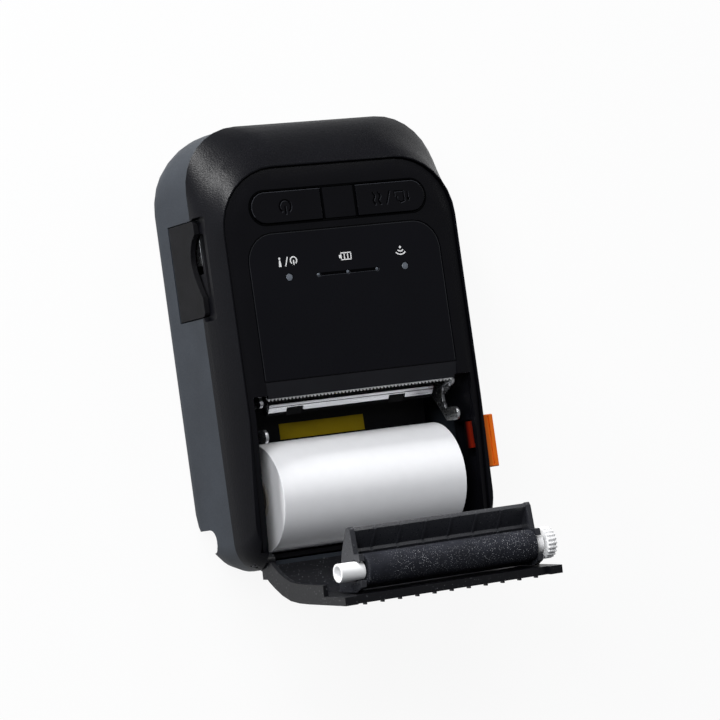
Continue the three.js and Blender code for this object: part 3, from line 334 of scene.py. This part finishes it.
def head_face(name, colour, roughness, middle, lean):
    """Metal of the print head with the thin dark line of its heating row."""
    per_millimetre, middle_level = 0.25, 0.5
    material = metal(name, colour, roughness)
    shader = material.node_tree.nodes["Principled BSDF"]
    nodes, links = material.node_tree.nodes, material.node_tree.links
    place = nodes.new("ShaderNodeTexCoord")
    offset = nodes.new("ShaderNodeVectorMath")
    offset.operation = "SUBTRACT"
    offset.inputs[1].default_value = middle
    across = nodes.new("ShaderNodeVectorMath")
    across.operation = "DOT_PRODUCT"
    across.inputs[1].default_value = Vector((0, math.cos(lean), math.sin(lean))) / MM
    shift = nodes.new("ShaderNodeMath")
    shift.operation = "MULTIPLY_ADD"
    shift.inputs[1].default_value = per_millimetre
    shift.inputs[2].default_value = middle_level
    links.new(place.outputs["Object"], offset.inputs[0])
    links.new(offset.outputs["Vector"], across.inputs[0])
    links.new(across.outputs["Value"], shift.inputs[0])
    row = [(0.56, colour), (0.585, (0.03, 0.03, 0.035)), (0.62, (0.05, 0.05, 0.055)), (0.645, colour)]
    links.new(colour_ramp(material, shift.outputs[0], row), shader.inputs["Base Color"])
    return material


def rubber(name, colour, roughness, dusty=False):
    material, shader = new_material(name, colour, roughness, specular=0.12)
    add_bump(material, shader, noise_node(material, 1900, 3.0).outputs["Fac"], 0.4, 0.08)
    broad = noise_node(material, 260, 4.0).outputs["Fac"]
    surface = colour_ramp(material, broad, [(0.35, shade(colour, 0.8)), (0.65, shade(colour, 1.25))])
    if dusty:
        dust = dust_mask(material, patch_scale=80, cell_scale=3000)
        surface = mix_colours(material, dust, surface, (0.85, 0.87, 0.92))
    material.node_tree.links.new(surface, shader.inputs["Base Color"])
    return material


def paper(name, colour, winding=None):
    """Smooth paper; winding is the point on the axis round which its layers are wound."""
    material, shader = new_material(name, colour, 0.85, specular=0.12)
    add_bump(material, shader, noise_node(material, 1600, 5.0).outputs["Fac"], 0.12, 0.03)
    broad = noise_node(material, 300, 3.0).outputs["Fac"]
    surface = colour_ramp(material, broad, [(0.3, shade(colour, 0.985)), (0.7, shade(colour, 1.01))])
    if winding is not None:
        layers = wound_layers(material, winding)
        surface = mix_colours(material, layers, surface, shade(colour, 0.8))
    material.node_tree.links.new(surface, shader.inputs["Base Color"])
    return material


def wound_layers(material, centre):
    """Rings round an axis along x, as the edges of wound paper show them."""
    nodes, links = material.node_tree.nodes, material.node_tree.links
    place = nodes.new("ShaderNodeTexCoord")
    mapping = nodes.new("ShaderNodeMapping")
    mapping.inputs["Location"].default_value = -centre
    rings = nodes.new("ShaderNodeTexWave")
    rings.wave_type = "RINGS"
    rings.rings_direction = "X"
    rings.inputs["Scale"].default_value = 620
    rings.inputs["Distortion"].default_value = 1.2
    rings.inputs["Detail"].default_value = 2
    links.new(place.outputs["Object"], mapping.inputs["Vector"])
    links.new(mapping.outputs["Vector"], rings.inputs["Vector"])
    return colour_ramp(material, rings.outputs["Fac"], [(0.1, grey(0.55)), (0.6, BLACK)])


# Colour, roughness and finish of the moulded plastics and of the marks drawn on them, some of which are
# painted shade and painted light
PLASTICS = {
    "shell_black": ((0.003, 0.0031, 0.0045), 0.36, {"grain": 2300, "depth": 1.0, "specular": 0.1}),
    "bezel_black": ((0.0026, 0.0026, 0.0038), 0.34, {}),
    "shell_grey": ((0.028, 0.033, 0.041), 0.5, {"specular": 0.15}),
    "panel_film": ((0.0034, 0.0035, 0.0052), 0.3, {"grain": 4000, "depth": 0.12, "mottle": 0.05}),
    "door_black": ((0.0035, 0.0037, 0.0052), 0.34, {"specular": 0.25, "dusty": True}),
    "guide_black": ((0.022, 0.023, 0.028), 0.3, {"specular": 0.5, "dusty": True}),
    "bay_black": ((0.0022, 0.0022, 0.003), 0.6, {}),
    "light_pipe": ((0.13, 0.145, 0.17), 0.25, {"depth": 0.05, "specular": 0.4}),
    "white_plastic": (grey(0.9), 0.38, {"depth": 0.1, "mottle": 0.02, "specular": 0.4}),
    "orange_plastic": ((0.87, 0.17, 0.008), 0.33, {"depth": 0.12, "mottle": 0.04, "specular": 0.3}),
    # Painted shade: the lever's orange darkened for its bar seen in the bay's window
    "window_red_painted_shade": ((0.3, 0.014, 0.003), 0.4, {"depth": 0.12, "mottle": 0.1, "specular": 0.3}),
    "patch_yellow": ((0.34, 0.24, 0.006), 0.5, {"depth": 0.08, "mottle": 0.06}),
    "board_green": ((0.012, 0.1, 0.04), 0.35, {"depth": 0.1}),
    "component_black": ((0.014, 0.014, 0.016), 0.45, {}),
    "battery_black": ((0.02, 0.021, 0.025), 0.45, {}),
    "print_white": (grey(0.8), 0.5, {"depth": 0.05, "mottle": 0.02}),
    # Painted light on the sloped band below the panel's overlay
    "band_painted_light": ((0.0125, 0.0128, 0.0155), 0.45, {}),
    # Painted shade in sunk lines, joints round the keys, screw recesses, grip lines and sunk signs
    "painted_recess_shade": ((0.0006, 0.0006, 0.0009), 0.6, {"depth": 0.1, "mottle": 0.05, "specular": 0.02}),
    # Painted highlight along the cut edge of the panel's film
    "edge_highlight_grey": ((0.016, 0.017, 0.02), 0.25, {"depth": 0.1, "mottle": 0.3, "specular": 0.5}),
    # Painted highlights on the edges of keys, sunk lines and sunk signs
    "painted_highlight_grey": ((0.045, 0.047, 0.055), 0.35, {"depth": 0.1, "mottle": 0.05}),
}
HEAD_LEAN = math.radians(36)

MATERIALS = {name: moulded_plastic(name, colour, roughness, **finish)
             for name, (colour, roughness, finish) in PLASTICS.items()}
MATERIALS.update({
    "steel": metal("steel", (0.62, 0.63, 0.65), 0.3),
    "black_steel": metal("black_steel", (0.05, 0.05, 0.055), 0.4),
    "head_metal": metal("head_metal", (0.7, 0.71, 0.74), 0.25),
    "head_face": head_face("head_face", (0.9, 0.91, 0.93), 0.3, centre_of("print_head"), HEAD_LEAN),
    "blade_steel": metal("blade_steel", (0.88, 0.89, 0.9), 0.4, stretch=(30, 1, 30), scale=90),
    "platen_rubber": rubber("platen_rubber", (0.014, 0.015, 0.02), 0.62, dusty=True),
    "flap_rubber": rubber("flap_rubber", (0.0035, 0.0035, 0.0045), 0.6),
    "paper": paper("paper", (0.9, 0.9, 0.915), winding=centre_of("paper_roll")),
    "core_board": paper("core_board", (0.62, 0.58, 0.52)),
})

# Pieces that look different from the rest of their slot
SPECIAL = {
    "hinge_pin_left": "black_steel", "hinge_pin_right": "black_steel", "print_head": "head_face",
    "tear_blade": "blade_steel", "io_board": "component_black", "paper_guide": "guide_black",
    "front_bezel": "bezel_black", "button_bridge": "bezel_black", "power_button": "bezel_black",
    "feed_button": "bezel_black",
}

# Width of the rounded edges in millimetres
PLAIN_BEVEL = 0.12
BEVELS = {
    "front_shell": 0.28, "rear_shell": 0.28, "front_bezel": 0.4, "door_cover": 0.25,
    "paper_guide": 0.18, "release_lever": 0.35, "power_button": 0.25, "feed_button": 0.25,
    "port_flap": 0.3, "battery_cover": 0.25, "roll_bay": 0.2, "platen_gear": 0.08,
    "idler_gear": 0.08, "motor_pinion": 0.08, "tear_blade": 0.05, "panel_overlay": 0.08,
    "label_patch": 0.0, "platen_rubber": 0.3,
}
BEVEL_SEGMENTS = 2
BEVEL_ANGLE = math.radians(32)
WELD_REACH = 0.01
NORMAL_WEIGHT = 60


def dress_node(name, node):
    node.data.materials.clear()
    node.data.materials.append(MATERIALS[SPECIAL.get(name, SLOTS[name])])
    for polygon in node.data.polygons:
        polygon.use_smooth = True
    weld = node.modifiers.new("weld", "WELD")
    weld.merge_threshold = WELD_REACH * MM
    width = BEVELS.get(name, PLAIN_BEVEL)
    if width:
        bevel = node.modifiers.new("bevel", "BEVEL")
        bevel.width = width * MM
        bevel.segments = BEVEL_SEGMENTS
        bevel.limit_method = "ANGLE"
        bevel.angle_limit = BEVEL_ANGLE
    normals = node.modifiers.new("normals", "WEIGHTED_NORMAL")
    normals.keep_sharp = True
    normals.weight = NORMAL_WEIGHT


def paint_window_shade(low, high):
    """Painted shade on the window's red: darker towards the deep side, between two levels."""
    material = MATERIALS["window_red_painted_shade"]
    shader = material.node_tree.nodes["Principled BSDF"]
    nodes, links = material.node_tree.nodes, material.node_tree.links
    place = nodes.new("ShaderNodeTexCoord")
    split = nodes.new("ShaderNodeSeparateXYZ")
    depth = nodes.new("ShaderNodeMapRange")
    depth.inputs["From Min"].default_value = low
    depth.inputs["From Max"].default_value = high
    links.new(place.outputs["Object"], split.inputs["Vector"])
    links.new(split.outputs["Z"], depth.inputs["Value"])
    fade = [(0.2, (0.004, 0.001, 0.001)), (0.4, (0.11, 0.006, 0.003)),
            (0.75, (0.3, 0.016, 0.003)), (0.95, (0.22, 0.012, 0.003))]
    links.new(colour_ramp(material, depth.outputs["Result"], fade), shader.inputs["Base Color"])


def paint_lever_bar_shade():
    """Painted shade: the lever's inner bar, seen in the bay's window, gets a darker red than its orange
    tab.
    """
    bar_inset = 2.5
    lever = NODES["release_lever"]
    wall_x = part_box("rear_shell")[1][0] - bar_inset * MM
    inner = [polygon for polygon in lever.data.polygons if polygon.center.x < wall_x]
    levels = [lever.data.vertices[index].co.z for polygon in inner for index in polygon.vertices]
    paint_window_shade(min(levels), max(levels))
    lever.data.materials.append(MATERIALS["window_red_painted_shade"])
    for polygon in inner:
        polygon.material_index = 1


def paint_light_on_panel_band():
    """Painted light: the sloped band below the panel's overlay, on faces turned forward and down, is
    given a paler grey than the bezel.
    """
    reach = 5 * MM
    least_forward, least_down = 0.5, 0.1
    bezel = NODES["front_bezel"]
    bezel.data.materials.append(MATERIALS["band_painted_light"])
    band_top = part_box("panel_overlay")[0][1]
    for polygon in bezel.data.polygons:
        in_band = abs(polygon.center.y - band_top + reach / 2) < reach / 2
        if in_band and polygon.normal.z > least_forward and polygon.normal.y < -least_down:
            polygon.material_index = 1


for node_name, solid in NODES.items():
    dress_node(node_name, solid)
paint_lever_bar_shade()
paint_light_on_panel_band()


# Printed signs and small marks, some of them painted shade and painted highlight, drawn in millimetres
# to the right of and above their middle.
# Those on the panel read from the printer's top end.

SIGN_THICKNESS = 0.02
SIGN_LIFT = 0.012


def arc(x, y, radius, start, end, steps=20):
    angles = [math.radians(start + (end - start) * i / steps) for i in range(steps + 1)]
    return [(x + radius * math.cos(a), y + radius * math.sin(a)) for a in angles]


def disc(x, y, radius):
    """One many-sided face, whose last corner stops a step before its first."""
    return [arc(x, y, radius, 0, 342, 19)]


def stroke(points, width):
    """Four-cornered faces that follow a line at an even width."""
    sides = []
    for i, point in enumerate(points):
        before, after = points[max(0, i - 1)], points[min(len(points) - 1, i + 1)]
        way = (Vector(after) - Vector(before)).normalized() * (width / 2)
        sides.append(((point[0] - way.y, point[1] + way.x), (point[0] + way.y, point[1] - way.x)))
    return [[a[0], a[1], b[1], b[0]] for a, b in zip(sides, sides[1:])]


def box_line(x, y, width, height, line):
    """The four sides of an upright rectangle about a middle."""
    half_w, half_h = width / 2, height / 2
    reach = half_w + line / 2
    return (stroke([(x - reach, y + half_h), (x + reach, y + half_h)], line)
            + stroke([(x - reach, y - half_h), (x + reach, y - half_h)], line)
            + stroke([(x - half_w, y - half_h), (x - half_w, y + half_h)], line)
            + stroke([(x + half_w, y - half_h), (x + half_w, y + half_h)], line))


def make_sign(name, faces, middle, material, body, lift=SIGN_LIFT):
    """A thin printed or sunk mark, lifted off the face that carries it."""
    mesh = bpy.data.meshes.new(name)
    corners, polygons = [], []
    for face in faces:
        first = len(corners)
        corners += [(middle.x + a * MM, middle.y + b * MM, middle.z + lift * MM) for a, b in face]
        polygons.append(list(range(first, len(corners))))
    mesh.from_pydata(corners, [], polygons)
    piece = bpy.data.objects.new(name, mesh)
    bpy.context.scene.collection.objects.link(piece)
    piece.data.materials.append(MATERIALS[material])
    thick = piece.modifiers.new("thickness", "SOLIDIFY")
    thick.thickness = SIGN_THICKNESS * MM
    thick.offset = 0
    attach(piece, body)


def on_top(node, over):
    """The middle of one node, raised to the top of another."""
    middle = centre_of(node)
    middle.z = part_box(over)[1][2]
    return middle


def under(node):
    """The middle of a node's underside."""
    middle = centre_of(node)
    middle.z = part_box(node)[0][2]
    return middle


def half_size(node):
    """Half the width and half the height of a node, in millimetres."""
    low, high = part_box(node)
    return (high[0] - low[0]) / 2 / MM, (high[1] - low[1]) / 2 / MM


def power_ring(x, y, radius, line):
    ring = stroke(arc(x, y, radius, -55, 235), line)
    return ring + stroke([(x, y + 0.1), (x, y - radius * 1.25)], line)


def panel_sign(name, faces, light):
    """A white sign printed above one of the panel's lights."""
    make_sign(name, faces, on_top(light, "panel_overlay"), "print_white", "shell")


def panel_signs():
    letter = disc(-2.45, 5.25, 0.3) + [[(-2.64, 4.78), (-2.82, 3), (-2.02, 3), (-2.26, 4.78)]]
    slash = stroke([(-0.8, 3), (0.05, 5.5)], 0.32)
    power = power_ring(1.81, 4.42, 0.98, 0.33)
    panel_sign("alert_power_sign", letter + slash + power, "status_led_left")

    battery = box_line(0, 4.25, 3.1, 1.85, 0.3)
    for x in (-0.52, 0.52):
        battery += stroke([(x, 3.4), (x, 5.1)], 0.3)
    terminal = stroke([(-1.95, 3.8), (-1.95, 4.7)], 0.5)
    panel_sign("battery_sign", battery + terminal, "charge_light_pipe")

    waves = disc(-0.9, 5.25, 0.34)
    for radius in (1.15, 2.05):
        waves += stroke(arc(-0.9, 5.3, radius, 222, 318, 12), 0.36)
    panel_sign("wireless_sign", waves, "status_led_right")


def charge_slot():
    """A sunk line that joins the three charge lights, drawn as painted shade, with painted highlights
    along its lower side and under the lights.
    """
    # rim is the width of the painted highlight lines
    light_radius, spacing, half, rim, play = 0.62, 9.2, 0.42, 0.16, 0.04
    dark, highlights = [], []
    for start, end in ((-spacing + light_radius, -light_radius), (light_radius, spacing - light_radius)):
        dark += stroke([(start, 0), (end, 0)], 2 * half)
        highlights += stroke([(start, -half), (end, -half)], rim)
    for x in (-spacing, 0, spacing):
        highlights += stroke(arc(x, 0, light_radius + play, 180, 360), rim)
    middle = on_top("charge_light_pipe", "panel_overlay")
    make_sign("charge_slot", dark, middle, "painted_recess_shade", "shell")
    make_sign("charge_slot_highlights", highlights, middle, "painted_highlight_grey", "shell")


def key_outline(end, half):
    """The closed outline of both keys and the bridge: a bar with round ends."""
    right_end = arc(end - half, 0, half, 90, -90)
    left_end = arc(half - end, 0, half, 270, 90)
    return right_end + left_end + [(end - half, half)]


def key_marks():
    """Painted shadow along the deep joints round the keys and beside the bridge, and painted highlights
    on the keys' upper edges.
    """
    # rim is the width of the painted highlight lines
    flange, gap, shadow, rim, lap, play = 0.9, 0.35, 0.4, 0.12, 0.25, 0.04
    half = half_size("power_button")[1] - flange
    end = -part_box("power_button")[0][0] / MM - flange
    bridge_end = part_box("button_bridge")[1][0] / MM

    outline = key_outline(end + gap + shadow / 2, half + gap + shadow / 2)
    make_sign("key_outline_shadow", stroke(outline, shadow), on_top("button_bridge", "front_bezel"),
              "painted_recess_shade", "shell")

    joints = []
    for side in (-1, 1):
        x = side * (bridge_end + (gap - lap) / 2)
        joints += stroke([(x, -half), (x, half)], gap + lap - play)
    make_sign("key_gap_shadow", joints, on_top("button_bridge", "button_bridge"),
              "painted_recess_shade", "shell")

    # Painted highlights along the keys' upper edges
    edge = half - rim
    edge_start = bridge_end + 1.5 * gap
    left = arc(half - end, 0, edge, 215, 90) + [(-edge_start, edge)]
    right = [(edge_start, edge)] + arc(end - half, 0, edge, 90, 40)
    middle = on_top("button_bridge", "power_button")
    make_sign("power_key_edge_highlight", stroke(left, rim), middle, "painted_highlight_grey", "power_key")
    make_sign("feed_key_edge_highlight", stroke(right, rim), middle, "painted_highlight_grey", "feed_key")


def overlay_edge_highlight():
    """A painted highlight along the cut edge of the panel's film."""
    inset, line, corner = 0.15, 0.12, 8.0
    half_w, half_h = (half - inset for half in half_size("panel_overlay"))
    radius = corner - inset
    path = ([(-half_w, -half_h)] + arc(radius - half_w, half_h - radius, radius, 180, 90)
            + arc(half_w - radius, half_h - radius, radius, 90, 0) + [(half_w, -half_h)])
    make_sign("overlay_edge_highlight", stroke(path, line), on_top("panel_overlay", "panel_overlay"),
              "edge_highlight_grey", "shell")


def sunk_sign(name, faces, key, body):
    """A sign sunk in a key: painted shade in its strokes, with a painted highlight along their lower
    edge.
    """
    shift, edge_lift, stroke_lift = 0.13, 0.004, 0.03
    middle = on_top(key, key)
    edges = [[(a + shift, b - shift) for a, b in face] for face in faces]
    make_sign(f"{name}_edges", edges, middle, "painted_highlight_grey", body, edge_lift)
    make_sign(name, faces, middle, "painted_recess_shade", body, stroke_lift)


def key_signs():
    sunk_sign("power_key_sign", power_ring(-0.4, 0, 1.75, 0.5), "power_button", "power_key")

    half, step, sway, turns = 1.8, 0.15, 0.28, 2.6
    levels = [i * step - half for i in range(25)]
    feed = []
    for x in (-5.4, -3.7):
        feed += stroke([(x + sway * math.sin(turns * y), y) for y in levels], 0.5)
    slash = [(-1.6, -half), (-0.3, half)]
    sheet_top = [(1.2, 0.2), (1.2, 1.5), (4.1, 1.5), (4.1, -1.3)]
    sheet_curl = [(1.9, 0.2), (1.9, -0.9), (2.9, -1.6), (4.1, -1.3)]
    for points in (slash, sheet_top, sheet_curl):
        feed += stroke(points, 0.42)
    arrow = stroke([(5.4, 1.2), (5.4, -1.1)], 0.36) + [[(4.9, -0.5), (5.9, -0.5), (5.4, -1.5)]]
    sunk_sign("feed_key_sign", feed + arrow, "feed_button", "feed_key")


def back_marks():
    """Cross recesses in the screws, and the finger grip on the battery cover, drawn as painted shade."""
    arm, line, turn_step = 1.25, 0.5, 0.35
    for number in (1, 2, 3, 4):
        cross = []
        for quarter in (0, math.pi / 2):
            turn = turn_step * number + quarter
            way = Vector((math.cos(turn), math.sin(turn))) * arm
            cross += stroke([tuple(-way), tuple(way)], line)
        make_sign(f"screw_recess_{number}", cross, under(f"rear_screw_{number}"),
                  "painted_recess_shade", "shell", -SIGN_LIFT)

    rows, half, taper, pitch, line, inset = 6, 7, 0.5, 0.9, 0.35, 6
    middle = under("battery_cover")
    middle.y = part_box("battery_cover")[1][1] - inset * MM
    grip = []
    for row in range(rows):
        reach = half - taper * row
        grip += stroke([(-reach, -pitch * row), (reach, -pitch * row)], line)
    make_sign("battery_cover_grip", grip, middle, "painted_recess_shade", "battery_door", -SIGN_LIFT)


panel_signs()
charge_slot()
key_marks()
overlay_edge_highlight()
key_signs()
back_marks()
